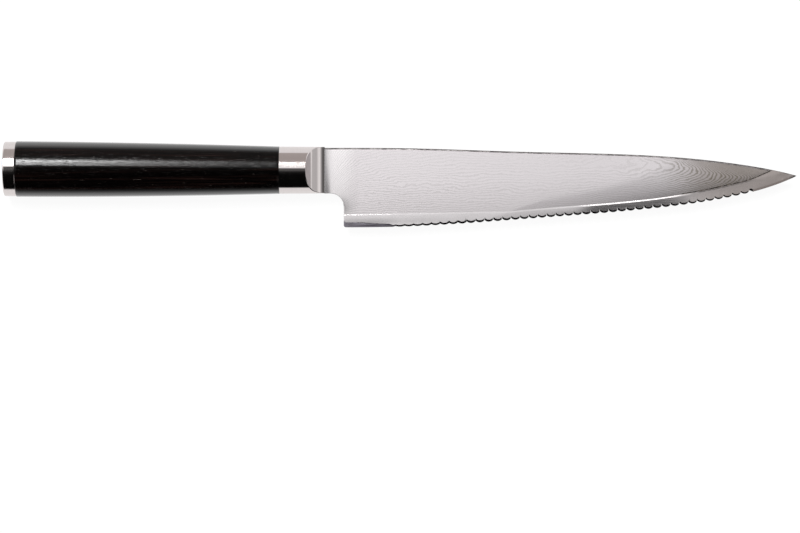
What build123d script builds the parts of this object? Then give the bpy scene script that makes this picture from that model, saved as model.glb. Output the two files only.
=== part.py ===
from build123d import *
import math
import os

os.makedirs("parts", exist_ok=True)

# A kitchen knife with a serrated clad blade and a D-section grip, laid on its left side.
# X runs from the butt to the tip, Y from the edge to the spine, Z out of the right face.
# The origin is under the middle of the knife, on the surface that it lies on.

# Lengths along X
cap_length = 4.1
grip_length = 87.6
bolster_length = 15.0
neck_length = 6.4
blade_length = 151.1

# Heights along Y
grip_butt_height = 18.6
grip_middle_height = 17.8
grip_front_height = 15.85
bolster_rear_height = 15.8
bolster_front_height = 15.6
butt_rise = 0.4
middle_rise = 0.15
cap_step = 0.2
spine_step = 0.4

# D section, as shares of the half height
right_bulge_share = 0.83
ridge_share = 0.08
corner_share = 0.55
lower_corner_share = 0.6
flank_share = 0.55
ridge_tilt = 7.0
ridge_blend = 0.4
# The left side is as deep all along, and ends in the narrow flat that the knife lies on
left_side_depth = 6.6
left_corner_share = 0.8
left_flat_share = 0.3
left_blend_share = 0.35

# Blade
spine_thickness = 2.0
core_thickness = 0.6
edge_thickness = 0.3
heel_depth = 26.45
tip_drop = 9.3
heel_corner_radius = 0.8
neck_radius = 4.3
# The spine's fall, as shares of the blade length and of the tip's drop
spine_shares = ((0.13, 0.012), (0.39, 0.139), (0.672, 0.274), (0.783, 0.409), (0.893, 0.638))
# The cutting edge, as shares of the blade length and of the heel depth
edge_shares = ((0.126, 0.991), (0.39, 0.898), (0.672, 0.768), (0.884, 0.579))
# The flat of each face meets the core at two depths below the spine, this far apart
flat_core_depth = 22.15
flat_core_rise = 1.0
flat_core_length = 57.0
# The belly grind meets the core at these shares of the blade length and the heel depth,
# and rises from there at this slope
belly_shares = (
    (-0.3, 0.97, 0.045),
    (0.0, 0.94, 0.045),
    (0.19, 0.9, 0.045),
    (0.41, 0.776, 0.042),
    (0.565, 0.706, 0.044),
    (0.742, 0.591, 0.044),
    (0.874, 0.439, 0.045),
    (0.937, 0.35, 0.045),
    (1.03, 0.188, 0.045),
)
thinnest_share = 0.05
# Plain bevels at the heel and the tip, and the serrations between them
bevel_height = 0.5
heel_bevel_height = 1.35
tip_bevel_height = 0.75
serration_count = 40
serration_depth = 0.74
first_notch_share = 0.1092
last_notch_share = 0.8912
first_depth_share = 0.3
deepening_count = 10
run_in = 1.0

# Bolster scoops: a round cutter whose centre lies beyond the bolster's front
scoop_radius = 7.7
scoop_beyond = 1.2
shoulder_step = 0.1

# Stub tang, tang bar, bore and cap socket
stub_thickness = 1.2
stub_height = 9.0
stub_reach = 10.0
tang_thickness = 3.0
tang_height = 7.0
fork_depth = 6.0
bore_height = 9.8
bore_width = 4.4
bore_corner = 1.0
boss_height = 12.0
boss_width = 7.0
boss_length = 3.0
boss_corner = 1.5
socket_depth = 4.0
rim_radius = 0.9
fit_clearance = 0.05

# Reach of every cut beyond what it cuts
overrun = 5.0

# Stations along X
overall_length = cap_length + grip_length + bolster_length + neck_length + blade_length
butt_x = -overall_length / 2
cap_seam_x = butt_x + cap_length
bolster_rear_x = cap_seam_x + grip_length
bolster_front_x = bolster_rear_x + bolster_length
heel_x = bolster_front_x + neck_length
tip_x = heel_x + blade_length

# Levels in Y and Z, with the knife's whole height halved by the origin
drop_below = heel_depth + spine_step - bolster_front_height / 2
axis_y = (drop_below - butt_rise - grip_butt_height / 2) / 2
spine_y = axis_y + bolster_front_height / 2 - spine_step
neck_bottom_y = axis_y - bolster_front_height / 2
edge_y = spine_y - heel_depth
tip_y = spine_y - tip_drop
axis_z = left_side_depth
core_half = core_thickness / 2
spine_half = spine_thickness / 2
edge_half = edge_thickness / 2


def cross_plane(x, y=axis_y):
    """A plane across the knife at x, with local x along Y and local y along Z."""
    return Plane(origin=(x, y, axis_z), x_dir=(0, 1, 0), z_dir=(1, 0, 0))


def d_section(x, height, rise=0):
    """The D section of the handle: a low ridge on the right, a flat within curves on the left."""
    half = height / 2
    right = half * right_bulge_share
    ridge = half * ridge_share
    corner_depth = left_side_depth * left_corner_share
    flat_half = half * left_flat_share
    flat_blend = half * left_blend_share
    fall = math.tan(math.radians(ridge_tilt))
    upper_flank = (half - ridge) * flank_share
    lower_flank = (half + ridge) * flank_share
    above = (ridge + ridge_blend, right - ridge_blend * fall)
    below = (ridge - ridge_blend, right - ridge_blend * fall)
    with BuildSketch(cross_plane(x, axis_y + rise)) as section:
        with BuildLine():
            Bezier(
                (half, 0),
                (half, right * corner_share),
                (ridge + upper_flank, right - upper_flank * fall),
                above,
            )
            Bezier(above, (ridge, right), below)
            Bezier(
                below,
                (ridge - lower_flank, right - lower_flank * fall),
                (-half, right * lower_corner_share),
                (-half, 0),
            )
            Bezier(
                (-half, 0),
                (-half, -corner_depth),
                (-flat_half - flat_blend, -left_side_depth),
                (-flat_half, -left_side_depth),
            )
            Line((-flat_half, -left_side_depth), (flat_half, -left_side_depth))
            Bezier(
                (flat_half, -left_side_depth),
                (flat_half + flat_blend, -left_side_depth),
                (half, -corner_depth),
                (half, 0),
            )
        make_face()
    return section.sketch


def bar(start_x, end_x, height, thickness, corner=0):
    """A straight bar along X about the handle's axis, with rounded corners if asked."""
    with BuildPart() as body:
        with BuildSketch(cross_plane(start_x)):
            if corner > 0:
                RectangleRounded(height, thickness, corner)
            else:
                Rectangle(height, thickness)
        extrude(amount=end_x - start_x)
    return body.part


def blade_point(length_share, depth):
    """A point in the blade's side view, by its share of the length and depth below the spine."""
    return (heel_x + length_share * blade_length, spine_y - depth)


# Blade blank: the outline of the blade, left long below the edge and past the tip
spine_start = (heel_x - neck_length / 2, spine_y)
spine_points = [spine_start]
spine_points += [blade_point(share, fall * tip_drop) for share, fall in spine_shares]
spine_points += [(tip_x, tip_y)]
spine_curve = Spline(*spine_points, tangents=((1, 0), (7, -2)))
past_tip = spine_curve % 1 * overrun
neck_turn = (heel_x - neck_radius, neck_bottom_y - neck_radius)
neck_middle = (
    neck_turn[0] + neck_radius * math.sin(math.pi / 4),
    neck_turn[1] + neck_radius * math.cos(math.pi / 4),
)

# Each face has one flat plane from the spine down to the core
heel_spine = Vector(heel_x, spine_y, axis_z + spine_half)
heel_core = Vector(heel_x, spine_y - flat_core_depth, axis_z + core_half)
middle_core = Vector(
    heel_x + flat_core_length, spine_y - flat_core_depth + flat_core_rise, axis_z + core_half
)
flat_normal = (heel_core - heel_spine).cross(middle_core - heel_spine).normalized()
right_flat = Plane(origin=heel_spine, z_dir=flat_normal)
left_flat = Plane(
    origin=(heel_spine.X, heel_spine.Y, axis_z - spine_half),
    z_dir=(flat_normal.X, flat_normal.Y, -flat_normal.Z),
)


def belly_section(length_share, depth_share, slope):
    """A wedge across the blade whose sides pass the core's faces at the given depth."""
    core_y = spine_y - depth_share * heel_depth
    top = spine_y + overrun
    bottom = edge_y - 3 * overrun
    high = core_half + slope * (top - core_y)
    low = core_half * thinnest_share
    thin_y = core_y - (core_half - low) / slope
    with BuildSketch(cross_plane(heel_x + length_share * blade_length, 0)) as section:
        Polygon(
            (top, high), (thin_y, low), (bottom, low),
            (bottom, -low), (thin_y, -low), (top, -high),
            align=None,
        )
    return section.sketch


with BuildPart() as blade_blank:
    with BuildSketch(Plane.XY.offset(axis_z)):
        with BuildLine():
            add(spine_curve)
            Line(spine_curve @ 1, spine_curve @ 1 + past_tip)
            Polyline(
                spine_curve @ 1 + past_tip,
                (tip_x + overrun, edge_y - overrun),
                (heel_x, edge_y - overrun),
                (heel_x, neck_turn[1]),
            )
            ThreePointArc(
                (heel_x, neck_turn[1]), neck_middle, (neck_turn[0], neck_bottom_y)
            )
            Polyline(
                (neck_turn[0], neck_bottom_y),
                (bolster_front_x, neck_bottom_y),
                (bolster_front_x, spine_y),
                spine_start,
            )
        make_face()
    extrude(amount=spine_thickness, both=True)
    split(bisect_by=right_flat, keep=Keep.BOTTOM)
    split(bisect_by=left_flat, keep=Keep.BOTTOM)
    loft(
        sections=[belly_section(*shares) for shares in belly_shares],
        mode=Mode.INTERSECT,
    )
    # The stub tang runs back through the bolster
    add(bar(bolster_rear_x - stub_reach, bolster_front_x, stub_height, stub_thickness))

# Hard core: the middle layer, with the cutting edge and the tip
edge_points = [(heel_x + heel_corner_radius, edge_y)]
edge_points += [blade_point(share, depth * heel_depth) for share, depth in edge_shares]
edge_points += [(tip_x, tip_y)]
edge_curve = Spline(*edge_points, tangents=((1, 0), (2, 1)))
edge_end = edge_curve @ 1 + edge_curve % 1 * overrun


def edge_notch(index):
    """The point of a notch, off the smooth edge by its own depth."""
    share = first_notch_share
    share += (last_notch_share - first_notch_share) * index / serration_count
    growth = first_depth_share + (1 - first_depth_share) * min(1, index / deepening_count)
    inward = (edge_curve % share).rotate(Axis.Z, 90)
    return edge_curve @ share + inward * (serration_depth * growth)


def lobe_bottom(index):
    """The lowest point of the rounded tooth between two notches, on the smooth edge."""
    share = first_notch_share
    share += (last_notch_share - first_notch_share) * (index + 1 / 2) / serration_count
    return edge_curve @ share


def plain_bevel(start, end, height, before=0, after=0):
    """The wedge ground off the right face along a straight stretch of the edge."""
    along = (end - start).normalized()
    up = along.rotate(Axis.Z, 90)
    run = Plane(origin=(start.X, start.Y, axis_z - edge_half), x_dir=up, z_dir=along)
    run = run.offset(-before)
    with BuildPart() as wedge:
        with BuildSketch(run):
            Polygon(
                (0, 0),
                (height * overrun / edge_thickness, overrun),
                (-overrun, overrun),
                (-overrun, 0),
                align=None,
            )
        extrude(amount=before + (end - start).length + after)
    return wedge.part


# All that lies below the cutting edge, drawn on the left face and cut at the bevel's slant
plain_heel = edge_curve.trim(0, first_notch_share - run_in / edge_curve.length)
plain_tip = edge_curve.trim(last_notch_share + run_in / edge_curve.length, 1)
bevel_slant = bevel_height / edge_thickness
with BuildPart() as edge_cut:
    with BuildSketch(Plane.XY.offset(axis_z - edge_half)):
        with BuildLine():
            Line(
                (heel_x - overrun, edge_y + heel_corner_radius),
                (heel_x, edge_y + heel_corner_radius),
            )
            RadiusArc(
                (heel_x, edge_y + heel_corner_radius), plain_heel @ 0, -heel_corner_radius
            )
            add(plain_heel)
            Line(plain_heel @ 1, edge_notch(0))
            for tooth in range(serration_count):
                ThreePointArc(edge_notch(tooth), lobe_bottom(tooth), edge_notch(tooth + 1))
            Line(edge_notch(serration_count), plain_tip @ 0)
            add(plain_tip)
            Polyline(
                plain_tip @ 1,
                edge_end,
                (tip_x + 2 * overrun, edge_end.Y),
                (tip_x + 2 * overrun, edge_y - 2 * overrun),
                (heel_x - overrun, edge_y - 2 * overrun),
                (heel_x - overrun, edge_y + heel_corner_radius),
            )
        make_face()
    extrude(amount=spine_thickness, dir=(0, bevel_slant, 1))
    extrude(
        edge_cut.faces().sort_by(Axis.Z)[0], amount=spine_thickness, dir=(0, -bevel_slant, -1)
    )

with BuildPart() as blade_core:
    add(blade_blank.part)
    split(bisect_by=Plane.XY.offset(axis_z + core_half), keep=Keep.BOTTOM)
    split(bisect_by=Plane.XY.offset(axis_z - core_half), keep=Keep.TOP)
    add(edge_cut.part, mode=Mode.SUBTRACT)
    add(
        plain_bevel(plain_heel @ 0, plain_heel @ 1, heel_bevel_height, before=overrun),
        mode=Mode.SUBTRACT,
    )
    add(
        plain_bevel(plain_tip @ 0, plain_tip @ 1, tip_bevel_height, after=overrun),
        mode=Mode.SUBTRACT,
    )
blade_core.part.label = "blade_core"
export_step(blade_core.part, "parts/blade_core.step")

# Cladding: the layered steel on each side of the core
with BuildPart() as cladding_right:
    add(blade_blank.part)
    split(bisect_by=Plane.XY.offset(axis_z + core_half), keep=Keep.TOP)
cladding_right.part.label = "cladding_right"
export_step(cladding_right.part, "parts/cladding_right.step")

with BuildPart() as cladding_left:
    add(blade_blank.part)
    split(bisect_by=Plane.XY.offset(axis_z - core_half), keep=Keep.BOTTOM)
cladding_left.part.label = "cladding_left"
export_step(cladding_left.part, "parts/cladding_left.step")

# Bolster: a D-section block, slotted for the stub tang and scooped down to the blade
with BuildPart() as bolster:
    loft(
        sections=[
            d_section(bolster_rear_x, bolster_rear_height),
            d_section(bolster_front_x, bolster_front_height),
        ]
    )
    for side in (-1, 1):
        scoop_z = axis_z + side * (spine_half + shoulder_step + scoop_radius)
        with BuildSketch(Plane.XZ.offset(-axis_y)):
            with Locations((bolster_front_x + scoop_beyond, scoop_z)):
                Circle(scoop_radius)
        extrude(amount=bolster_rear_height, both=True, mode=Mode.SUBTRACT)
    add(
        bar(
            bolster_rear_x - overrun,
            bolster_front_x + overrun,
            stub_height + 2 * fit_clearance,
            stub_thickness + 2 * fit_clearance,
        ),
        mode=Mode.SUBTRACT,
    )
bolster.part.label = "bolster"
export_step(bolster.part, "parts/bolster.step")

# Tang bar: forked over the stub tang at the front, seated in the cap's socket at the rear
tang_front_x = bolster_rear_x - stub_reach + fork_depth
tang_rear_x = cap_seam_x + boss_length - socket_depth
with BuildPart() as tang:
    add(bar(tang_rear_x, tang_front_x, tang_height, tang_thickness))
    add(
        bar(tang_front_x - fork_depth, tang_front_x + overrun, stub_height, stub_thickness),
        mode=Mode.SUBTRACT,
    )
tang.part.label = "tang"
export_step(tang.part, "parts/tang.step")

# End cap: a plate with a rounded rim, a boss that enters the grip and a blind socket
with BuildPart() as end_cap:
    loft(
        sections=[
            d_section(butt_x, grip_butt_height - 2 * cap_step, butt_rise),
            d_section(cap_seam_x, grip_butt_height - 2 * cap_step, butt_rise),
        ]
    )
    fillet(end_cap.faces().sort_by(Axis.X)[0].edges(), rim_radius)
    add(bar(cap_seam_x, cap_seam_x + boss_length, boss_height, boss_width, boss_corner))
    add(
        bar(tang_rear_x, cap_seam_x + overrun, tang_height, tang_thickness),
        mode=Mode.SUBTRACT,
    )
end_cap.part.label = "end_cap"
export_step(end_cap.part, "parts/end_cap.step")

# Grip: laminated wood, bored right through for the tang and counterbored for the boss
with BuildPart() as grip:
    loft(
        sections=[
            d_section(cap_seam_x, grip_butt_height, butt_rise),
            d_section(cap_seam_x + grip_length / 2, grip_middle_height, middle_rise),
            d_section(bolster_rear_x, grip_front_height),
        ]
    )
    add(
        bar(cap_seam_x - overrun, bolster_rear_x + overrun, bore_height, bore_width, bore_corner),
        mode=Mode.SUBTRACT,
    )
    add(
        bar(
            cap_seam_x - overrun,
            cap_seam_x + boss_length + fit_clearance,
            boss_height + 2 * fit_clearance,
            boss_width + 2 * fit_clearance,
            boss_corner + fit_clearance,
        ),
        mode=Mode.SUBTRACT,
    )
grip.part.label = "grip"
export_step(grip.part, "parts/grip.step")

# Adhesive: cured filler between the tang and the bore
with BuildPart() as adhesive:
    add(bar(cap_seam_x + boss_length, bolster_rear_x, bore_height, bore_width, bore_corner))
    add(tang.part, mode=Mode.SUBTRACT)
    add(
        bar(bolster_rear_x - stub_reach, bolster_rear_x, stub_height, stub_thickness),
        mode=Mode.SUBTRACT,
    )
adhesive.part.label = "adhesive"
export_step(adhesive.part, "parts/adhesive.step")
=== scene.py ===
import bisect
import math

import bmesh
import bpy
from bpy.props import FloatProperty, FloatVectorProperty, IntProperty, PointerProperty
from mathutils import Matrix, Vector


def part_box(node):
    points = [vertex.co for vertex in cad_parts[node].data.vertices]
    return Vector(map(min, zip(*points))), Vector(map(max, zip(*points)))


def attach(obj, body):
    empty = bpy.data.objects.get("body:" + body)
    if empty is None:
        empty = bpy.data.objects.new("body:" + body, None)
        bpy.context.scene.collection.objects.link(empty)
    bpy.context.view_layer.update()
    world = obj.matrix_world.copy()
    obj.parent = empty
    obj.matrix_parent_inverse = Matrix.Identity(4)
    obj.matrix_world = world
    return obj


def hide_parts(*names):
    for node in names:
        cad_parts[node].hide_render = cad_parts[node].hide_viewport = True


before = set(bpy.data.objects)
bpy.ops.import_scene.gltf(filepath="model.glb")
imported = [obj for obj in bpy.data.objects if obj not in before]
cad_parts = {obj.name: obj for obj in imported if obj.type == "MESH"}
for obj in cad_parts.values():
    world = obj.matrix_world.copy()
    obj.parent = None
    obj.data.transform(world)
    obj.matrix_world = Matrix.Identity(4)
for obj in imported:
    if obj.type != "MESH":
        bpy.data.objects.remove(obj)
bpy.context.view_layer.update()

bl_info = {
    "name": "Tomato Knife",
    "version": (1, 0, 0),
    "blender": (4, 5, 0),
    "location": "3D View > Sidebar > Knife",
    "description": "Builds a serrated kitchen knife with a clad blade, piece by piece",
    "category": "Add Mesh",
}

MM = 0.001

# Places along the knife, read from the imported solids
BUTT_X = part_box("end_cap")[0][0]
SEAM_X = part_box("grip")[0][0]
GRIP_FRONT_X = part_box("grip")[1][0]
BOLSTER_FRONT_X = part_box("bolster")[1][0]
TIP_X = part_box("blade_core")[1][0]


def length(name, millimetres, description, least=0.0):
    """A length among the settings, given in millimetres and kept in metres."""
    return FloatProperty(name=name, description=description, default=millimetres * MM,
                         min=least * MM, precision=5, unit="LENGTH")


def tint(name, tone, description):
    """A colour among the settings."""
    return FloatVectorProperty(name=name, description=description, default=tone,
                               min=0, max=1, subtype="COLOR")


class HandleSizes(bpy.types.PropertyGroup):
    """Sizes of the grip, the end cap and the bolster."""

    butt_height: length("Butt height", 18.6, "Height of the grip at the end cap", 5)
    middle_height: length("Middle height", 17.8, "Height of the grip half way along", 5)
    front_height: length("Front height", 15.85, "Height of the grip at the bolster", 5)
    bolster_rear_height: length(
        "Bolster rear height", 15.8, "Height of the bolster at the grip", 5)
    bolster_front_height: length(
        "Bolster front height", 15.6, "Height of the bolster at the blade", 5)
    butt_rise: length(
        "Butt rise", 0.4, "How far the grip's middle rises at the butt", -5)
    middle_rise: length(
        "Middle rise", 0.15, "How far the grip's middle rises half way along", -5)
    cap_step: length("Cap step", 0.2, "How far the cap stands back from the grip")
    left_depth: length(
        "Left side depth", 6.6, "Depth of the handle to the left of the blade's middle", 2)
    ridge_tilt: FloatProperty(
        name="Ridge tilt", description="How steeply the right side falls from its ridge",
        default=math.radians(7), min=0, subtype="ANGLE")
    rim_radius: length("Rim radius", 0.5, "Rounding of the end cap's outer rim", 0.1)
    edge_softness: length(
        "Edge softness", 0.12, "Polished-off width of the handle's sharp edges", 0.02)
    scoop_radius: length(
        "Scoop radius", 7.7, "Radius of the scoops ground into the bolster", 4)
    scoop_beyond: length(
        "Scoop beyond", 1.2, "How far ahead of the bolster the scoops are centred")
    shoulder: length(
        "Shoulder", 0.1, "Rest of the bolster above the blade at the scoop's centre")


class BladeSizes(bpy.types.PropertyGroup):
    """Sizes of the blade and its serrations."""

    neck_length: length("Neck length", 6.4, "From the bolster to the heel", 1)
    neck_radius: length("Neck radius", 4.3, "Fillet between the neck and the heel", 0.5)
    spine_thickness: length("Spine thickness", 2.0, "Thickness of the blade at its heel", 0.8)
    core_thickness: length("Core thickness", 0.6, "Thickness of the hard middle layer", 0.2)
    edge_thickness: length(
        "Edge thickness", 0.3, "Thickness over which the bevels' rises are measured", 0.05)
    heel_depth: length("Heel depth", 26.45, "From the spine to the edge at the heel", 10)
    spine_step: length(
        "Spine step", 0.4, "How far the spine lies below the bolster's top")
    tip_drop: length("Tip drop", 9.3, "How far the tip lies below the spine")
    heel_radius: length("Heel radius", 0.8, "Rounding of the heel's lower corner", 0.1)
    spine_softness: length(
        "Spine softness", 0.55, "Rounding of the spine's two edges", 0.05)
    heel_softness: length(
        "Heel softness", 0.22, "Rounding of the edges round the neck and heel", 0.05)
    core_step: length(
        "Core step", 0.04, "How far the hard core stands proud of the cladding")
    tooth_count: IntProperty(
        name="Teeth", description="Number of rounded teeth along the edge",
        default=40, min=2, subtype="UNSIGNED")
    tooth_depth: length("Tooth depth", 0.74, "Depth of the notches between the teeth")
    edge_rise: length(
        "Tooth bevel", 0.5, "Rise of the teeth's bevel over the edge thickness", 0.1)
    heel_rise: length(
        "Heel bevel", 1.35, "Rise of the heel's bevel over the edge thickness", 0.1)
    tip_rise: length(
        "Tip bevel", 0.75, "Rise of the tip's bevel over the edge thickness", 0.1)


class Finishes(bpy.types.PropertyGroup):
    """Colours of the steels, the wood and the resin."""

    cladding_colour: tint(
        "Cladding", (0.74, 0.703, 0.719), "Bright layers of the blade's cladding")
    heel_cladding_colour: tint(
        "Heel cladding", (0.83, 0.80, 0.81), "Paler cladding next to the neck")
    layer_colour: tint(
        "Etched layers", (0.46, 0.43, 0.43), "Darker layers of the blade's cladding")
    tip_layer_colour: tint(
        "Tip layers", (0.16, 0.14, 0.095), "Olive etched layers near the tip")
    stain_colour: tint(
        "Tip stain", (0.33, 0.285, 0.265), "Brown tint of the steel near the tip")
    core_colour: tint("Core steel", (0.72, 0.69, 0.70), "Hard middle layer of the blade")
    core_cloud_colour: tint(
        "Core clouds", (0.42, 0.40, 0.40), "Duller stretches of the core steel")
    core_speck_colour: tint("Core specks", (0.34, 0.31, 0.29), "Pits in the core steel")
    polished_colour: tint("Polished steel", (0.67, 0.622, 0.615), "Bolster and end cap")
    polish_line_colour: tint(
        "Polishing lines", (0.50, 0.48, 0.46), "Deeper lines in the polished steel")
    wood_colour: tint(
        "Grip wood", (0.0007, 0.0005, 0.0005), "Black of the laminated grip")
    wood_streak_colour: tint(
        "Wood streaks", (0.011, 0.0052, 0.0044), "Reddish veneers that show through the black")
    wood_pore_colour: tint("Wood pores", (0.003, 0.0022, 0.002), "Short open pores")
    wood_fleck_colour: tint("Wood flecks", (0.035, 0.030, 0.026), "Pale flecks in the grain")
    tang_colour: tint("Tang steel", (0.42, 0.42, 0.42), "Rolled steel of the hidden tang")
    resin_colour: tint("Adhesive", (0.55, 0.48, 0.33), "Cured resin round the tang")


class StageSettings(bpy.types.PropertyGroup):
    """The floor, the studio's light and the camera."""

    floor_colour: tint("Floor", (0.96, 0.96, 0.96), "Plain pale floor")
    floor_size: length("Floor size", 9000, "Half the side of the floor", 1000)
    light_level: FloatProperty(
        name="Light level", description="Strength of the whole studio",
        default=1.0, min=0, subtype="FACTOR")
    camera_height: length("Camera height", 1007, "Height of the camera above the floor", 200)
    camera_x: length(
        "Camera along", -0.23, "Where along the knife the camera stands", -1000)
    camera_y: length(
        "Camera across", -27.46, "Where across the knife the camera stands", -1000)
    lens: FloatProperty(
        name="Lens", description="Focal length of the camera",
        default=135.0, min=20, unit="CAMERA")


def shares(count, start=0.0, end=1.0):
    """Evenly spaced numbers from start to end."""
    return [start + (end - start) * i / (count - 1) for i in range(count)]


def mix(a, b, share):
    """A value part of the way from a to b."""
    return a + (b - a) * share


def smooth(low, high, value):
    """An eased step from 0 at low to 1 at high."""
    t = min(1.0, max(0.0, (value - low) / (high - low)))
    return t * t * (3 - 2 * t)


def eased(stops, share):
    """The eased value between (share, value) stops."""
    for (a, low), (b, high) in zip(stops, stops[1:]):
        if share < b:
            return mix(low, high, smooth(a, b, share))
    return stops[-1][1]


def through_three(x, left, middle, right, values):
    """The parabola through three values at three places."""
    a, b, c = values
    return (
        a * (x - middle) * (x - right) / ((left - middle) * (left - right))
        + b * (x - left) * (x - right) / ((middle - left) * (middle - right))
        + c * (x - left) * (x - middle) / ((right - left) * (right - middle))
    )


class SmoothCurve:
    """A smooth curve through points, which leaves its two ends in given directions."""

    sample_count = 3001
    nudge = 0.0005

    def __init__(self, points, start, end):
        self.points = [Vector(p) for p in points]
        self.knots = [0.0]
        for a, b in zip(self.points, self.points[1:]):
            self.knots.append(self.knots[-1] + (b - a).length)
        last = len(points) - 1
        gaps = [b - a for a, b in zip(self.knots, self.knots[1:])]
        steps = [(b - a) / g for a, b, g in zip(self.points, self.points[1:], gaps)]
        self.slopes = [Vector(start).normalized()] + [None] * last
        self.slopes[last] = Vector(end).normalized()
        # Slopes at the inner points, from the first to the last and then back
        upper = [0.0] * (last + 1)
        right = [None] * (last + 1)
        right[0] = self.slopes[0]
        for i in range(1, last):
            known = 3 * (steps[i - 1] * gaps[i] + steps[i] * gaps[i - 1])
            pivot = 2 * (gaps[i - 1] + gaps[i]) - gaps[i] * upper[i - 1]
            upper[i] = gaps[i - 1] / pivot
            right[i] = (known - right[i - 1] * gaps[i]) / pivot
        for i in range(last - 1, 0, -1):
            self.slopes[i] = right[i] - self.slopes[i + 1] * upper[i]
        self.length = self.knots[-1]
        self.samples = [self.at(s) for s in shares(self.sample_count)]
        self.sample_x = [p[0] for p in self.samples]

    def at(self, share):
        """The point at a share of the curve."""
        t = share * self.length
        i = min(len(self.knots) - 2, max(0, bisect.bisect_right(self.knots, t) - 1))
        gap = self.knots[i + 1] - self.knots[i]
        u = (t - self.knots[i]) / gap
        a, b = self.points[i], self.points[i + 1]
        m, n = self.slopes[i] * gap, self.slopes[i + 1] * gap
        return (
            a * (2 * u**3 - 3 * u**2 + 1)
            + m * (u**3 - 2 * u**2 + u)
            + b * (3 * u**2 - 2 * u**3)
            + n * (u**3 - u**2)
        )

    def inward(self, share):
        """The direction to the left of the curve at a share of it."""
        before, after = max(0, share - self.nudge), min(1, share + self.nudge)
        along = (self.at(after) - self.at(before)).normalized()
        return Vector((-along[1], along[0]))

    def value(self, x, which=1):
        """The curve's other coordinate where it passes x."""
        i = min(len(self.sample_x) - 2, max(0, bisect.bisect_right(self.sample_x, x) - 1))
        a, b = self.samples[i], self.samples[i + 1]
        share = (x - a[0]) / (b[0] - a[0])
        return mix(a[which], b[which], share)


def bezier(points, count):
    """Points along a Bezier curve, without its last one."""
    found = []
    for t in shares(count + 1)[:-1]:
        row = [Vector(p) for p in points]
        while len(row) > 1:
            row = [a.lerp(b, t) for a, b in zip(row, row[1:])]
        found.append(row[0])
    return found


# Points on each stretch of the D section: upper right, ridge, lower right, then the left's three
RING_COUNTS = (26, 8, 26, 24, 6, 24)
RING_RIDGE = RING_COUNTS[0] + RING_COUNTS[1] / 2
RING_BOTTOM = sum(RING_COUNTS[:3])
RING_TOTAL = sum(RING_COUNTS)


def section_ring(sizes, height, rise):
    """The handle's D section as points (y, z), from the top over the ridge and round the left."""
    half = height / 2
    left = sizes.left_depth
    fall = math.tan(sizes.ridge_tilt)
    # The right side, as shares of half the height: its depth, its ridge and its fullness
    right = half * 0.83
    ridge = half * 0.08
    pull, lower_pull = 0.55, 0.6
    blend = 0.4 * MM
    upper = (half - ridge) * pull
    lower = (half + ridge) * pull
    # The left side: its corners, the flat that it lies on and the curve between them
    corner = left * 0.8
    flat = half * 0.3
    ease = half * 0.35
    above = (ridge + blend, right - blend * fall)
    below = (ridge - blend, right - blend * fall)
    curves = (
        ((half, 0), (half, right * pull), (ridge + upper, right - upper * fall), above),
        (above, (ridge, right), below),
        (below, (ridge - lower, right - lower * fall), (-half, right * lower_pull), (-half, 0)),
        ((-half, 0), (-half, -corner), (-flat - ease, -left), (-flat, -left)),
        ((-flat, -left), (flat, -left)),
        ((flat, -left), (flat + ease, -left), (half, -corner), (half, 0)),
    )
    axis_y = handle_axis()
    found = []
    for points, count in zip(curves, RING_COUNTS):
        found += [Vector((p[0] + axis_y + rise, p[1] + left)) for p in bezier(points, count)]
    return found


def handle_axis():
    """Height in Y of the handle's middle line at the bolster."""
    handle = bpy.context.scene.knife_handle
    blade = bpy.context.scene.knife_blade
    return (
        blade.heel_depth + blade.spine_step - handle.bolster_front_height / 2
        - handle.butt_rise - handle.butt_height / 2
    ) / 2


def inset_ring(ring, distance):
    """The ring moved inwards by a distance, square to its own line."""
    count = len(ring)
    found = []
    for i, point in enumerate(ring):
        along = (ring[(i + 1) % count] - ring[i - 1]).normalized()
        inward = Vector((-along[1], along[0]))
        found.append(point + inward * distance)
    return found


def ring_at(ring, place):
    """The point of a ring at a place between two of its points."""
    i = math.floor(place)
    return ring[i % len(ring)].lerp(ring[(i + 1) % len(ring)], place - i)


def add_rings(bm, rings):
    """Faces between rings, each given as (x, points), with both ends closed."""
    rows = [[bm.verts.new((x, p[0], p[1])) for p in ring] for x, ring in rings]
    for one, other in zip(rows, rows[1:]):
        for i in range(len(one)):
            j = (i + 1) % len(one)
            bm.faces.new((one[i], one[j], other[j], other[i]))
    bm.faces.new(rows[0])
    bm.faces.new(rows[-1])


def add_grid(bm, points, band=0):
    """Faces between rows of points; the first few of each row take the second material."""
    rows = [[bm.verts.new(p) for p in row] for row in points]
    for one, other in zip(rows, rows[1:]):
        for i in range(len(one) - 1):
            face = bm.faces.new((one[i], one[i + 1], other[i + 1], other[i]))
            face.material_index = 1 if i < band else 0


# Points nearer than this are welded: in a finished mesh, and while one is made
WELD = 2e-6
SAME_PLACE = 1e-7


def finish_mesh(bm, name, nodes, materials, crease):
    """Turns a bmesh into a smooth-shaded piece that stands for its solids."""
    bmesh.ops.remove_doubles(bm, verts=bm.verts[:], dist=WELD)
    bmesh.ops.dissolve_degenerate(bm, edges=bm.edges[:], dist=WELD / 2)
    bmesh.ops.recalc_face_normals(bm, faces=bm.faces[:])
    mesh = bpy.data.meshes.new(name)
    bm.to_mesh(mesh)
    bm.free()
    mesh.polygons.foreach_set("use_smooth", [True] * len(mesh.polygons))
    mesh.set_sharp_from_angle(angle=math.radians(crease))
    piece = bpy.data.objects.new(name, mesh)
    bpy.context.collection.objects.link(piece)
    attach(piece, "root")
    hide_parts(*nodes)
    for material in materials:
        mesh.materials.append(material_called(material))
    return piece


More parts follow.
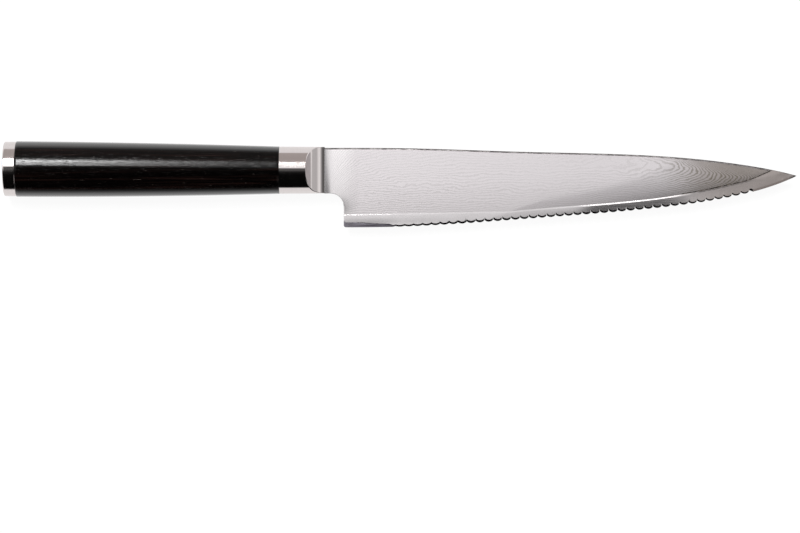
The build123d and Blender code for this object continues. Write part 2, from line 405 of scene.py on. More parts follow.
class Graph:
    """Short calls for placing and linking shader nodes."""

    def __init__(self, tree):
        self.tree = tree

    def node(self, kind, *values, operation=None, **inputs):
        """A new node, with its first inputs given in order and others by name."""
        made = self.tree.nodes.new("ShaderNode" + kind)
        if operation:
            made.operation = operation
        for socket, value in zip(made.inputs, values):
            self.put(socket, value)
        for name, value in inputs.items():
            self.put(made.inputs[name.replace("_", " ")], value)
        return made

    def put(self, socket, value):
        """Links or sets one input; a colour is given as three numbers."""
        if isinstance(value, bpy.types.NodeSocket):
            self.tree.links.new(value, socket)
        elif socket.type == "RGBA":
            socket.default_value = (*value, 1.0)
        else:
            socket.default_value = value

    def math(self, operation, *values):
        """One step of arithmetic."""
        return self.node("Math", *values, operation=operation).outputs[0]

    def sum(self, total, *values):
        """Several values added up."""
        for value in values:
            total = self.math("ADD", total, value)
        return total

    def times(self, product, *values):
        """Several values multiplied."""
        for value in values:
            product = self.math("MULTIPLY", product, value)
        return product

    def linear(self, value, slope, start):
        """A value on a straight line."""
        return self.math("MULTIPLY_ADD", value, slope, start)

    def vector(self, operation, *values):
        """One step of arithmetic on positions or colours."""
        return self.node("VectorMath", *values, operation=operation).outputs[0]

    def brighter(self, tone, factor):
        """A colour made brighter, also past white."""
        return self.node("VectorMath", tone, operation="SCALE", Scale=factor).outputs[0]

    def blend(self, factor, one, other):
        """A colour part of the way from one to the other."""
        made = self.tree.nodes.new("ShaderNodeMix")
        made.data_type = "RGBA"
        # The colours' sockets come after those for numbers and vectors
        for place, value in ((0, factor), (6, one), (7, other)):
            self.put(made.inputs[place], value)
        return made.outputs[2]

    def steps(self, value, *stops, kind="LINEAR"):
        """A colour ramp given as (place, grey or colour) pairs."""
        made = self.node("ValToRGB", value)
        made.color_ramp.interpolation = kind
        while len(made.color_ramp.elements) < len(stops):
            made.color_ramp.elements.new(0.5)
        for element, (place, _) in zip(made.color_ramp.elements, stops):
            element.position = place
        for element, (_, tone) in zip(made.color_ramp.elements, stops):
            element.color = (*tone, 1) if isinstance(tone, tuple) else (tone, tone, tone, 1)
        return made.outputs[0]

    def degrees(self, angle, *stops):
        """A colour ramp over an angle in degrees."""
        places = [(place / 360 + 0.5, value) for place, value in stops]
        return self.steps(self.linear(angle, 1 / 360, 0.5), *places)

    def noise(self, vector, stretch, detail=2.0, rough=0.5):
        """Values of a noise about a half, with one scale or one for each axis."""
        if isinstance(stretch, tuple):
            vector, stretch = self.vector("MULTIPLY", vector, stretch), 1.0
        return self.node("TexNoise", Vector=vector, Scale=stretch, Detail=detail,
                         Roughness=rough).outputs["Fac"]

    def effect(self, name, **inputs):
        """A shared effect, placed with its own values."""
        made = self.tree.nodes.new("ShaderNodeGroup")
        made.node_tree = effect_group(name)
        for label, value in inputs.items():
            self.put(made.inputs[label], value)
        return made.outputs


def fill_belt_lines(g, given, result):
    """Fine parallel lines left by a belt: their height, and a mask of the deeper ones."""
    place = g.vector("MULTIPLY", given["Position"], given["Stretch"])
    fine = g.noise(place, 1.0, 3.0, 0.6)
    broad = g.noise(place, 0.23)
    g.put(result["Height"], g.times(g.linear(broad, 0.8, fine), given["Depth"]))
    g.put(result["Mask"], g.steps(fine, (0.56, 0.0), (0.72, 1.0)))


def fill_fine_specks(g, given, result):
    """Tiny pits and grey specks scattered over a ground surface."""
    spots = g.steps(g.noise(given["Position"], given["Scale"]), (0.52, 0.0), (0.7, 1.0))
    g.put(result["Mask"], g.times(spots, given["Amount"]))


def fill_tip_stain(g, given, result):
    """How brown the steel is at a share of the blade's length."""
    g.put(result["Factor"], g.steps(
        given["Run"], (0.66, 0.0), (0.70, 0.03), (0.72, 0.12), (0.737, 0.18), (0.754, 0.29),
        (0.772, 0.45), (0.79, 0.60), (0.84, 0.76), (0.9, 0.80), (0.94, 0.86), (0.975, 0.86),
        (1.0, 0.5)))


# Each effect's maker, its named inputs with their defaults, and its named outputs
EFFECTS = {
    "belt_lines": (fill_belt_lines, {
        "Position": (0, 0, 0), "Stretch": (60, 9000, 9000), "Depth": 1.0}, ("Height", "Mask")),
    "fine_specks": (fill_fine_specks, {
        "Position": (0, 0, 0), "Scale": 2500.0, "Amount": 0.3}, ("Mask",)),
    "tip_stain": (fill_tip_stain, {"Run": 0.0}, ("Factor",)),
}


def effect_group(name):
    """The shader node group of an effect, built the first time that it is asked for."""
    group = bpy.data.node_groups.get(name)
    if group:
        return group
    fill, inputs, outputs = EFFECTS[name]
    group = bpy.data.node_groups.new(name, "ShaderNodeTree")
    for label, default in inputs.items():
        kind = "NodeSocketVector" if isinstance(default, tuple) else "NodeSocketFloat"
        socket = group.interface.new_socket(name=label, in_out="INPUT", socket_type=kind)
        socket.default_value = default
    for label in outputs:
        group.interface.new_socket(name=label, in_out="OUTPUT", socket_type="NodeSocketFloat")
    given = group.nodes.new("NodeGroupInput").outputs
    fill(Graph(group), given, group.nodes.new("NodeGroupOutput").inputs)
    return group


class Surface(Graph):
    """A material's graph, with one Principled shader and the place on the piece."""

    def __init__(self, name, metallic, roughness, **sockets):
        self.material = bpy.data.materials.new(name)
        self.material.use_nodes = True
        super().__init__(self.material.node_tree)
        self.tree.nodes.clear()
        shader = self.node("BsdfPrincipled", Metallic=metallic, Roughness=roughness, **sockets)
        self.node("OutputMaterial", shader.outputs[0])
        self.shader = shader.inputs
        self.position = self.node("TexCoord").outputs["Object"]
        self.colours = bpy.context.scene.knife_finish

    def lines(self, stretch, depth=1.0):
        """A belt's lines on this surface."""
        return self.effect("belt_lines", Position=self.position, Stretch=stretch, Depth=depth)

    def specks(self, scale, amount):
        """A mask of the specks on this surface."""
        return self.effect("fine_specks", Position=self.position, Scale=scale,
                           Amount=amount)["Mask"]

    def run(self):
        """The share of the blade's length, from 0 at the heel to 1 at the tip."""
        x = self.node("SeparateXYZ", self.position).outputs[0]
        heel_x = blade_start()
        return self.linear(x, 1 / (TIP_X - heel_x), -heel_x / (TIP_X - heel_x))

    def finish(self, tone, roughness, height, strength, depth):
        """Links the colour, the roughness and the relief, and gives the material."""
        relief = self.node("Bump", Strength=strength, Distance=depth, Height=height)
        self.put(self.shader["Base Color"], tone)
        self.put(self.shader["Roughness"], roughness)
        self.put(self.shader["Normal"], relief.outputs[0])
        return self.material

    def two_tones(self, pattern, low, high, one, other):
        """A colour that turns from one to the other as a pattern rises."""
        return self.blend(self.steps(pattern, (low, 0.0), (high, 1.0)), one, other)


def blade_start():
    """Where along the knife the heel stands."""
    return BOLSTER_FRONT_X + bpy.context.scene.knife_blade.neck_length


def layer_depth(g, x, z, run, below):
    """How deep a point lies in the stack of layers, which bends near the tip and the neck."""
    bend_depth, bend_reach = 0.20 * MM, 9 * MM
    turn_depth, turn_reach = 0.40 * MM, 2.9 * MM
    height = g.math("ABSOLUTE", g.math(
        "SUBTRACT", z, bpy.context.scene.knife_handle.left_depth))
    # Near the tip the layers turn back below the spine
    toward_tip = g.sum(g.math("MAXIMUM", g.linear(run, 2.2, -1.1), 0.0),
                       g.math("MAXIMUM", g.linear(run, 4.2, -3.1), 0.0))
    turn_back = g.times(g.math("EXPONENT", g.times(below, -1 / turn_reach)), -turn_depth,
                        toward_tip)
    # Near the neck they bend down towards the bolster
    from_neck = g.math("EXPONENT", g.linear(x, -1 / bend_reach, blade_start() / bend_reach))
    upper = g.math("SMOOTH_MIN", g.math("MAXIMUM", g.linear(below, -1 / (15 * MM), 1.15), 0.0),
                   1.0, 0.2)
    neck_bend = g.times(from_neck, upper, bend_depth)
    # Hammering leaves them uneven: broadly, less broadly and finely
    uneven = []
    for stretch, rough, swing, middle in (((70, 150, 0), 0.5, 0.12, 0.06),
                                          ((260, 500, 0), 0.55, 0.045, 0.022),
                                          ((1300, 2400, 0), 0.6, 0.018, 0.009)):
        noise = g.noise(g.position, stretch, 2.0, rough)
        uneven.append(g.linear(noise, swing * MM, -middle * MM))
    return g.sum(height, turn_back, neck_bend, g.sum(*uneven))


def etched_layers(g, depth, run, below):
    """A mask of the etched layers; some etch more than others, most of all near the tip."""
    pitch = 0.028 * MM
    layer = g.times(depth, 1 / pitch)
    wave = g.math("SINE", g.times(layer, 2 * math.pi))
    lines = g.steps(g.linear(wave, 0.5, 0.5), (0.42, 0.0), (0.94, 1.0), kind="EASE")
    each = g.noise(g.node("CombineXYZ", g.times(layer, 0.9), 0.0, 0.0).outputs[0], 1.0, 1.0)
    patch = g.noise(g.position, (45, 60, 0))
    strength = g.steps(run, (0.0, 0.42), (0.25, 0.36), (0.42, 0.2), (0.6, 0.4), (0.7, 0.8),
                       (0.76, 1.0), (0.88, 1.0), (0.93, 0.5))
    low_down = g.math("MAXIMUM", g.steps(g.times(below, 1 / (26 * MM)), (0.1, 0.45), (0.5, 1.0)),
                      g.steps(run, (0.6, 0.0), (0.74, 1.0)))
    uneven = g.steps(g.times(g.sum(each, patch), 0.5), (0.36, 0.35), (0.62, 1.0))
    return g.times(g.times(strength, low_down, uneven), lines)


def core_shadow(g, y, run, spine_y):
    """How much the cladding darkens just above the core."""
    core_depth = g.times(g.steps(
        run, (0.0, 0.837), (0.377, 0.80), (0.41, 0.776), (0.565, 0.706), (0.742, 0.591),
        (0.874, 0.439), (0.937, 0.35), (1.0, 0.24)), bpy.context.scene.knife_blade.heel_depth)
    above = g.sum(core_depth, g.math("SUBTRACT", y, spine_y))
    return g.times(g.steps(g.times(above, 1 / (12 * MM)), (0.0, 0.22), (0.9, 0.0)),
                   g.steps(run, (0.7, 1.0), (0.8, 0.0)))


def cladding_material(name):
    """Etched layers of soft and hard steel, cut through at a low angle by the grinding."""
    blade = bpy.context.scene.knife_blade
    handle = bpy.context.scene.knife_handle
    g = Surface(name, 1.0, 0.2)
    x, y, z = g.node("SeparateXYZ", g.position).outputs
    run = g.run()
    spine_y = handle_axis() + handle.bolster_front_height / 2 - blade.spine_step
    fall = g.times(g.math("POWER", g.math("MAXIMUM", run, 0.001), 2.6), blade.tip_drop)
    below = g.math("SUBTRACT", g.math("SUBTRACT", spine_y, fall), y)
    mask = etched_layers(g, layer_depth(g, x, z, run, below), run, below)
    specks = g.specks(2600.0, 0.10)
    # Next to the neck the steel is paler, near the tip brown with olive etched layers
    bright = g.blend(g.steps(run, (0.0, 1.0), (0.03, 0.0)), g.colours.cladding_colour,
                     g.colours.heel_cladding_colour)
    bright = g.blend(g.effect("tip_stain", Run=run)["Factor"], bright, g.colours.stain_colour)
    etched = g.two_tones(run, 0.66, 0.78, g.colours.layer_colour, g.colours.tip_layer_colour)
    tone = g.blend(mask, bright, etched)
    tone = g.blend(specks, tone, g.colours.layer_colour)
    tone = g.blend(core_shadow(g, y, run, spine_y), tone, g.colours.layer_colour)
    roughness = g.linear(specks, 0.3, g.linear(mask, 0.12, 0.13))
    lines = g.lines((90, 4200, 4200), 0.6)["Height"]
    relief = g.math("SUBTRACT", g.times(lines, 0.5), g.times(mask, 1.4))
    return g.finish(tone, roughness, relief, 0.35, 0.003 * MM)


def spine_shade_material(name):
    """The spine's rounded edges, dulled by a coarse belt, with painted shade where they turn away.
    """
    g = Surface(name, 1.0, 0.4)
    patch = g.noise(g.position, (420, 2600, 2600), 3.0, 0.6)
    # These dark greys are painted shade of the rounded edges, not the steel's own colour
    tone = g.two_tones(patch, 0.40, 0.62, (0.15, 0.14, 0.14), (0.045, 0.04, 0.04))
    lines = g.lines((900, 3000, 3000))["Height"]
    return g.finish(tone, g.linear(patch, 0.25, 0.32), lines, 0.4, 0.008 * MM)


def groove_shade_material(name):
    """Painted shade of the groove above the core towards the tip: near black in patches, dark grey
    between.
    """
    g = Surface(name, 1.0, 0.45)
    patch = g.noise(g.position, (650, 650, 0), 2.0, 0.6)
    tone = g.two_tones(patch, 0.44, 0.60, (0.012, 0.010, 0.008), (0.10, 0.085, 0.075))
    return g.finish(tone, g.linear(patch, 0.3, 0.3), patch, 0.4, 0.02 * MM)


def core_material(name):
    """Hard steel of the cutting edge, ground along the blade."""
    g = Surface(name, 1.0, 0.24)
    lines = g.lines((70, 5200, 5200))
    cloud = g.noise(g.position, (120, 400, 400), 3.0, 0.6)
    tone = g.blend(g.times(cloud, 0.25), g.colours.core_colour, g.colours.core_cloud_colour)
    tone = g.blend(g.specks(3200.0, 0.16), tone, g.colours.core_speck_colour)
    tone = g.blend(g.effect("tip_stain", Run=g.run())["Factor"], tone, g.colours.stain_colour)
    roughness = g.sum(0.11, g.times(lines["Mask"], 0.08), g.times(cloud, 0.04))
    return g.finish(tone, roughness, lines["Height"], 0.14, 0.004 * MM)


def heel_bevel_shade_material(name):
    """The heel's unserrated bevel, ground coarsely along the edge, its darkness partly painted
    shade.
    """
    g = Surface(name, 1.0, 0.45)
    lines = g.lines((60, 2600, 2600))
    # The purplish tint is the bevel's own; how dark these greys are is painted shade of the bevel
    # facing away from the light
    tone = g.two_tones(lines["Mask"], 0.0, 0.6, (0.28, 0.262, 0.30), (0.06, 0.052, 0.07))
    return g.finish(tone, g.linear(lines["Mask"], 0.1, 0.48), lines["Height"], 0.5, 0.02 * MM)


def polished_material(name, dullness):
    """Steel polished with a fine wheel across the handle, more or less finely."""
    g = Surface(name, 1.0, dullness)
    lines = g.lines((7000, 170, 170))
    scratches = g.lines((2600, 90, 90), 0.5)
    cloud = g.noise(g.position, 260.0, 3.0, 0.55)
    tone = g.blend(g.times(lines["Mask"], 0.3), g.colours.polished_colour,
                   g.colours.polish_line_colour)
    roughness = g.sum(dullness, g.times(lines["Mask"], 0.07), g.times(cloud, 0.04))
    return g.finish(tone, roughness, g.sum(lines["Height"], scratches["Height"]), 0.30,
                    0.006 * MM)


def bolster_material(name):
    """Finely polished steel of the bolster."""
    return polished_material(name, 0.06)


def cap_material(name):
    """The end cap's steel, a little duller than the bolster's."""
    return polished_material(name, 0.09)


def wood_material(name):
    """Black resin-filled wood veneers, polished, with the grain along the grip."""
    g = Surface(name, 0.0, 0.18, Specular_IOR_Level=0.16, Coat_IOR=1.7, Coat_Roughness=0.1)
    # The polished resin shines most where the grip turns away
    facing = g.node("LayerWeight", Blend=0.5).outputs["Facing"]
    g.put(g.shader["Coat Weight"], g.steps(facing, (0.27, 0.0), (0.42, 1.0)))
    # The grain drifts up and down a little on its way along the grip
    drift = g.linear(g.noise(g.position, (22, 60, 60)), 1.6 * MM, -0.8 * MM)
    grain = g.vector("ADD", g.position, g.node("CombineXYZ", 0.0, drift, 0.0).outputs[0])
    veneer = g.noise(grain, (9, 1500, 1500), 3.0, 0.6)
    pores = g.noise(grain, (330, 5200, 5200), 2.0, 0.65)
    fibres = g.noise(grain, (330, 3600, 3600), 3.0, 0.6)
    flecks = g.steps(g.noise(grain, (420, 2100, 2100), 2.0, 0.6), (0.69, 0.0), (0.78, 1.0))
    dashes = g.steps(pores, (0.60, 0.0), (0.72, 1.0))
    tone = g.two_tones(veneer, 0.50, 0.74, g.colours.wood_colour, g.colours.wood_streak_colour)
    tone = g.blend(g.times(dashes, 0.6), tone, g.colours.wood_pore_colour)
    tone = g.blend(flecks, tone, g.colours.wood_fleck_colour)
    roughness = g.sum(0.07, g.times(fibres, 0.12), g.times(dashes, 0.12), g.times(flecks, 0.3))
    relief = g.sum(fibres, g.times(dashes, -0.8), g.times(veneer, 0.6))
    return g.finish(tone, roughness, relief, 1.0, 0.016 * MM)


def tang_material(name):
    """Rolled steel bar with its mill skin, hidden in the grip."""
    g = Surface(name, 1.0, 0.45)
    skin = g.noise(g.position, 420.0, 4.0, 0.6)
    tone = g.two_tones(skin, 0.45, 0.65, g.colours.tang_colour, (0.25, 0.24, 0.24))
    lines = g.lines((120, 2600, 2600))["Height"]
    return g.finish(tone, g.linear(skin, 0.3, 0.3), lines, 0.4, 0.01 * MM)


def resin_material(name):
    """Cured adhesive with small bubbles, hidden in the grip."""
    g = Surface(name, 0.0, 0.4)
    cloud = g.noise(g.position, 700.0, 3.0, 0.6)
    bubbles = g.specks(1800.0, 0.5)
    tone = g.blend(cloud, g.colours.resin_colour, (0.40, 0.33, 0.20))
    tone = g.blend(bubbles, tone, (0.65, 0.6, 0.5))
    return g.finish(tone, g.linear(cloud, 0.25, 0.25), bubbles, 0.4, 0.05 * MM)


MATERIALS = {
    "layered_steel_etched": cladding_material,
    "spine_steel_coarse_shaded": spine_shade_material,
    "core_line_painted_shade": groove_shade_material,
    "core_steel_ground": core_material,
    "edge_steel_coarse_shaded": heel_bevel_shade_material,
    "bolster_steel_polished": bolster_material,
    "cap_steel_satin": cap_material,
    "grip_wood_black": wood_material,
    "tang_steel_rolled": tang_material,
    "adhesive_cured": resin_material,
}


def material_called(name):
    """The material of that name, made the first time that it is asked for."""
    return bpy.data.materials.get(name) or MATERIALS[name](name)


def grip_section(sizes, x):
    """Height and rise of the grip at a place along it."""
    middle = (SEAM_X + GRIP_FRONT_X) / 2
    height = through_three(x, SEAM_X, middle, GRIP_FRONT_X, (
        sizes.butt_height, sizes.middle_height, sizes.front_height))
    rise = through_three(x, SEAM_X, middle, GRIP_FRONT_X, (
        sizes.butt_rise, sizes.middle_rise, 0.0))
    return height, rise


def softened_end(x, inward, soft):
    """Stations (x, inset) that polish off a sharp end; inward is 1 or -1 along X."""
    corner = 0.3 * soft
    return [(x, soft), (x + inward * corner, corner), (x + inward * soft, 0)]


def add_handle_piece(name, node, material, stations, ring_for):
    """A piece of the handle through its rings at stations (x, inset)."""
    rings = []
    for x, inset in stations:
        ring = ring_for(x)
        rings.append((x, inset_ring(ring, inset) if inset else ring))
    bm = bmesh.new()
    add_rings(bm, rings)
    finish_mesh(bm, name, (node,), (material,), crease=50)


class KNIFE_OT_grip(bpy.types.Operator):
    """Black laminated wood grip of D section"""

    bl_idname = "knife.grip"
    bl_label = "Grip"

    ring_count, plain_from = 70, 1 * MM

    def execute(self, context):
        sizes = context.scene.knife_handle
        soft = sizes.edge_softness
        stations = softened_end(SEAM_X, 1, soft)
        stations += [(x, 0) for x in shares(self.ring_count, SEAM_X + self.plain_from,
                                            GRIP_FRONT_X - self.plain_from)]
        stations += reversed(softened_end(GRIP_FRONT_X, -1, soft))
        add_handle_piece("grip_wood_body", "grip", "grip_wood_black", stations,
                         lambda x: section_ring(sizes, *grip_section(sizes, x)))
        return {"FINISHED"}


class KNIFE_OT_end_cap(bpy.types.Operator):
    """Polished steel plate that closes the grip, with a rounded rim"""

    bl_idname = "knife.end_cap"
    bl_label = "End cap"

    def execute(self, context):
        sizes = context.scene.knife_handle
        soft = sizes.edge_softness
        radius = sizes.rim_radius
        ring = section_ring(sizes, sizes.butt_height - 2 * sizes.cap_step, sizes.butt_rise)
        # The rim's quarter circle, then the plain side as far as the soft seam
        stations = [(BUTT_X + radius * (1 - math.sin(turn)), radius * (1 - math.cos(turn)))
                    for turn in reversed(shares(9, 0, math.pi / 2))]
        stations += [(x, 0) for x in shares(6, BUTT_X + radius * 1.3, SEAM_X - 3 * soft)]
        stations += reversed(softened_end(SEAM_X, -1, soft))
        add_handle_piece("end_cap_plate", "end_cap", "cap_steel_satin",
                         stations, lambda x: ring)
        return {"FINISHED"}


class Bolster:
    """The bolster's surfaces: a D-section block with a round scoop on each side."""

    border_steps, halvings = 60, 40
    # How far the rows of points reach from the scoop's border, closer together near it
    wall_shares = [0, 0.004, 0.012, 0.03, 0.06, 0.1, 0.16] + shares(16, 0.22, 0.985) + [1]
    scoop_shares = [0, 0.03, 0.07, 0.12] + shares(18, 0.17, 1)
    # The softened border runs out over the first and last twelfth of its length
    border_ends = 12

    def __init__(self, context):
        self.sizes = context.scene.knife_handle
        blade = context.scene.knife_blade
        self.rear = section_ring(self.sizes, self.sizes.bolster_rear_height, 0)
        self.front = section_ring(self.sizes, self.sizes.bolster_front_height, 0)
        self.middle_z = self.sizes.left_depth
        self.centre_x = BOLSTER_FRONT_X + self.sizes.scoop_beyond
        self.centre_z = (blade.spine_thickness / 2 + self.sizes.shoulder
                         + self.sizes.scoop_radius)

    def point(self, x, place):
        """A point of the block's outside."""
        share = (x - GRIP_FRONT_X) / (BOLSTER_FRONT_X - GRIP_FRONT_X)
        flat = ring_at(self.rear, place).lerp(ring_at(self.front, place), share)
        return Vector((x, flat[0], flat[1]))

    def scoop_height(self, x):
        """Half the thickness that the scoops leave at x."""
        away = self.centre_x - x
        radius = self.sizes.scoop_radius
        return self.centre_z - math.sqrt(max(0, radius * radius - away * away))

    def find(self, test, low, high):
        """The place between low and high where the test changes."""
        at_low = test(low)
        for _ in range(self.halvings):
            half = (low + high) / 2
            if test(half) == at_low:
                low = half
            else:
                high = half
        return (low + high) / 2

    def border(self, side):
        """The scoop's border as (x, place), from the lower front round to the upper front."""
        if side > 0:
            peak_low = peak_high = RING_RIDGE
            low_end, high_end = RING_BOTTOM, 0
        else:
            peak_low = sum(RING_COUNTS[:4])
            peak_high = sum(RING_COUNTS[:5])
            low_end, high_end = RING_BOTTOM, RING_TOTAL

        def reach(x, place):
            return (self.point(x, place)[2] - self.middle_z) * side

        apex = self.find(lambda x: self.scoop_height(x) > reach(x, peak_low),
                         BOLSTER_FRONT_X - self.sizes.scoop_radius * 0.97, BOLSTER_FRONT_X)
        low_branch, high_branch = [], []
        for share in shares(self.border_steps, 1, 0)[:-1]:
            x = mix(apex, BOLSTER_FRONT_X, share * share)
            level = self.scoop_height(x)
            for branch, end, peak in ((low_branch, low_end, peak_low),
                                      (high_branch, high_end, peak_high)):
                branch.append((x, self.find(lambda p: reach(x, p) > level, end, peak)))
        between = [(apex, peak_low)]
        if peak_high != peak_low:
            between = [(apex, p) for p in shares(9, peak_low, peak_high)]
        return low_branch + between + high_branch[::-1]

    def add_side(self, bm, side):
        """The outside behind one scoop, the scoop itself and the soft border between them."""
        soft = self.sizes.edge_softness
        border = self.border(side)
        low_place, high_place = border[0][1], border[-1][1]
        front_low = self.point(BOLSTER_FRONT_X, low_place)
        front_high = self.point(BOLSTER_FRONT_X, high_place)
        outer, inner = [], []
        for i, (x, place) in enumerate(border):
            share = i / (len(border) - 1)
            taper = min(1, self.border_ends * share, self.border_ends * (1 - share))
            edge = self.point(x, place)
            far = mix(low_place, high_place, share)
            start = taper * soft / (edge - self.point(GRIP_FRONT_X, far)).length
            outer.append([self.point(mix(x, GRIP_FRONT_X, w), mix(place, far, w))
                          for w in (mix(start, 1, w) for w in self.wall_shares)])
            goal_y = mix(front_low[1], front_high[1], share)
            run = Vector((BOLSTER_FRONT_X - x, goal_y - edge[1])).length
            start = min(0.5, taper * soft / run) if run > soft / 9 else 0
            row = []
            for w in (mix(start, 1, w) for w in self.scoop_shares):
                px = mix(x, BOLSTER_FRONT_X, w)
                row.append(Vector((px, mix(edge[1], goal_y, w),
                                   self.middle_z + side * self.scoop_height(px))))
            inner.append(row)
        add_grid(bm, outer)
        add_grid(bm, inner)
        add_grid(bm, [[a[0], b[0]] for a, b in zip(outer, inner)])
        return low_place, high_place

    def add_strip(self, bm, start, stop):
        """The outside between the two scoops, above or below the blade."""
        columns = []
        for place in shares(9, start, stop):
            columns.append([self.point(mix(BOLSTER_FRONT_X, GRIP_FRONT_X, w),
                                       place % RING_TOTAL) for w in self.wall_shares])
        add_grid(bm, columns)


class KNIFE_OT_bolster(bpy.types.Operator):
    """Polished steel bolster, scooped down to the blade on both sides"""

    bl_idname = "knife.bolster"
    bl_label = "Bolster"

    def execute(self, context):
        block = Bolster(context)
        bm = bmesh.new()
        right_low, right_high = block.add_side(bm, 1)
        left_low, left_high = block.add_side(bm, -1)
        block.add_strip(bm, right_high, left_high - RING_TOTAL)
        block.add_strip(bm, right_low, left_low)
        finish_mesh(bm, "bolster_block", ("bolster",),
                    ("bolster_steel_polished",), crease=40)
        return {"FINISHED"}


class Blade:
    """The blade's outline and its surfaces, as heights above its middle plane."""

    # The spine, the edge and the belly's grinding: shares of the blade's length and of the
    # depth, with the grinding's slope
    spine_falls = ((0.13, 0.012), (0.39, 0.139), (0.672, 0.274), (0.783, 0.409), (0.893, 0.638))
    edge_depths = ((0.126, 0.991), (0.39, 0.898), (0.672, 0.768), (0.884, 0.579))
    belly_depths = ((-0.3, 0.97, 0.045), (0, 0.94, 0.045), (0.19, 0.9, 0.045),
                    (0.41, 0.776, 0.042), (0.565, 0.706, 0.044), (0.742, 0.591, 0.044),
                    (0.874, 0.439, 0.045), (0.937, 0.35, 0.045), (1.03, 0.188, 0.045))
    # How deep the flat of each face meets the core at the heel, and its rise over a length
    flat_core_depth = 22.15 * MM
    flat_core_rise = 1.0 * MM
    flat_core_length = 57.0 * MM
    # Swelling of the cladding and of the core band at shares of the length, as factors in
    # millimetres, and the width over which the band's sets in
    fullness = ((0, 0.05), (0.3, 0.06), (0.5, 0.085), (0.7, 0.15), (0.85, 0.09), (1.0, 0.0))
    edge_fullness = ((0, 0.0), (0.50, 0.0), (0.56, 0.09), (0.70, 0.09), (0.80, 0.0))
    swell = 0.45 * MM
    least_depth, thinnest, least_core_share = 1 * MM, 0.02 * MM, 0.05
    # The step from the cladding to the core, as shares of its full height at shares of the
    # length, its width, and how many widths below the line it fades away
    step_stops = ((0, 1.0), (0.09, 1.0), (0.13, 0.6), (0.3, 0.35), (0.42, 0.3), (0.49, 0.6),
                  (0.56, 0.4), (0.72, 0.4), (0.75, 0.1), (0.77, -0.4), (0.92, -0.3), (1.1, 0))
    step_width, step_fade = 0.4 * MM, (3, 9)
    # Towards the tip the step comes and goes, by the sum of two waves
    patchy_from, patchiness = 0.77, 0.45
    fast_wear, slow_wear, wear_shift, wear_span = 611, 367, 1.3, (-0.9, 0.6)
    # Between these shares of the length the cladding ends in a round nose
    nose = (0.885, 0.944)
    # The cladding's last strip, which is painted dark as the groove's shade beyond a share of the
    # length
    foot_width, etched_from = 0.3 * MM, 0.745
    # The neck: where its flare and its evening-out end, as shares of its length
    flare_share, evening_share, evening_power = 0.42, 1.8, 1.5
    evening_depth = 8 * MM
    neck_softening, front_softening, most_rounding = 0.3, 0.1, 0.45
    # The teeth's first and last notch, as shares of the edge's length, and how many notches
    # it takes to reach the full depth
    first_notch, last_notch = 0.1092, 0.8912
    deepening, shallowest = 10, 0.3
    # The plain edge ends this far before the teeth, and the heel's bevel gets lower there
    run_in = 1.0 * MM
    bevel_fade, bevel_end = (0.86, 1.0), 0.62
    trim_step = 0.0001
    # Points on the neck, each rounded corner, the heel's edge, each tooth and the tip
    neck_count, turn_count, heel_count, tooth_points, tip_count = 14, 15, 26, 15, 34
    # Rows of points where the blade's edges are rounded, and below the core's line
    edge_shares = (0, 0.04, 0.12, 0.25, 0.45, 0.7, 1.0)
    foot_shares = (1.0, 0.6, 0.3, 0.1, 0)
    core_edge_shares = (0, 0.1, 0.3, 0.6, 1.0)
    core_rows = (0, 0.06, 0.12, 0.18, 0.24, 0.3, 0.45, 0.6, 1.1, 1.8, 2.7)
    left_rows, bevel_rounds = 13, 6

    def __init__(self, context):
        self.sizes = s = context.scene.knife_blade
        handle = context.scene.knife_handle
        self.bolster = Bolster(context)
        self.middle_z = handle.left_depth
        self.core_half = s.core_thickness / 2
        self.edge_half = s.edge_thickness / 2
        self.spine_half = s.spine_thickness / 2
        axis = handle_axis()
        self.spine_y = axis + handle.bolster_front_height / 2 - s.spine_step
        self.neck_y = axis - handle.bolster_front_height / 2
        self.edge_y = self.spine_y - s.heel_depth
        self.heel_x = blade_start()
        self.turn_y = self.neck_y - s.neck_radius
        self.length = -BUTT_X - self.heel_x
        tip = (-BUTT_X, self.spine_y - s.tip_drop)
        self.spine = SmoothCurve(
            [(self.heel_x - s.neck_length / 2, self.spine_y)]
            + self.places(self.spine_falls, s.tip_drop) + [tip], (1, 0), (7, -2))
        self.edge = SmoothCurve(
            [(self.heel_x + s.heel_radius, self.edge_y)]
            + self.places(self.edge_depths, s.heel_depth) + [tip], (1, 0), (2, 1))
        rows = [Vector((self.heel_x + a * self.length, b * s.heel_depth, c))
                for a, b, c in self.belly_depths]
        self.belly = SmoothCurve(rows, rows[1] - rows[0], rows[-1] - rows[-2])
        self.fall_y = (self.spine_half - self.core_half) / self.flat_core_depth
        self.fall_x = (self.core_half - self.spine_half + self.fall_y
                       * (self.flat_core_depth - self.flat_core_rise)) / self.flat_core_length
        self.stations = self.make_outline()
        self.split = ((self.spine_y - self.turn_y)
                      / (self.spine_y - self.core_line(self.heel_x)))

    def places(self, depths, whole):
        """Points at shares of the length, and at shares of a whole depth below the spine."""
        return [(self.heel_x + share * self.length, self.spine_y - depth * whole)
                for share, depth in depths]

    def share_at(self, x):
        """The share of the blade's length at x."""
        return (x - self.heel_x) / self.length

    def top(self, x):
        """The spine's level at x."""
        return self.spine_y if x <= self.spine.points[0][0] else self.spine.value(x)

    def plain_face(self, x, y):
        """Half the blade's thickness as ground, before its edges are softened."""
        flat = self.spine_half + self.fall_x * (x - self.heel_x) + self.fall_y * (y - self.spine_y)
        depth, slope = self.belly.value(x), self.belly.value(x, 2)
        ground = self.core_half + slope * (y - self.spine_y + depth)
        line, top = self.core_line(x), self.top(x)
        share = min(1.0, max(0.0, (top - y) / max(top - line, self.least_depth)))
        full = eased(self.fullness, self.share_at(x)) * MM
        return max(min(flat, ground) + full * (share - share**3),
                   self.least_core_share * self.core_half)

